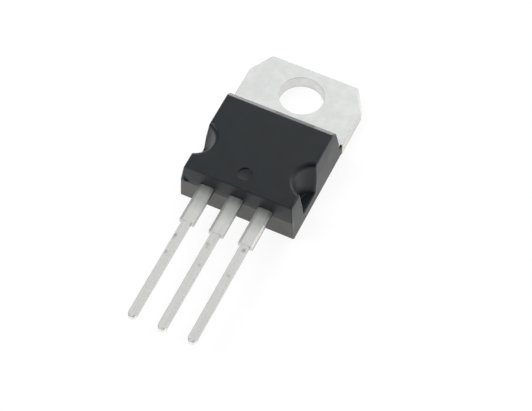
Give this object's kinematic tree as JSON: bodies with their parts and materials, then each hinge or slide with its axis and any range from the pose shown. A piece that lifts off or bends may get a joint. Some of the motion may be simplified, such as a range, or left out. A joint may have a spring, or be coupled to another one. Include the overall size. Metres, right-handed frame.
{
  "type": "power mosfet",
  "caption": "Power transistor in a flat moulded package: a metal tab with a mounting hole, a black body notched on both sides, and stepped flat leads in a row.",
  "frame": {"origin": "centre of the mounting hole on the heatsink face, the flat metal back of the part", "axes": "+Z out of the front face, +Y to the free end of the tab, so the leads run towards -Y; +X across the package, with the gate lead at -X, the drain lead at 0 and the source lead at +X"},
  "size_m": [0.0102, 0.0289, 0.0043],
  "materials": {
    "moulding_compound": "fine-grained semi-matt black epoxy",
    "tinned_header": "matt tin plating on copper",
    "tinned_leads": "matt tin plating on copper",
    "silicon": "metallised silicon",
    "solder": "dull solder",
    "bond_wire": "bright drawn wire"
  },
  "bodies": {
    "root": {"mould_body": "moulding_compound", "drain_header": "tinned_header", "gate_lead": "tinned_leads", "source_lead": "tinned_leads", "silicon_die": "silicon", "die_solder": "solder", "gate_bond_wire": "bond_wire", "source_bond_wire_1": "bond_wire", "source_bond_wire_2": "bond_wire"}
  },
  "joints": []
}
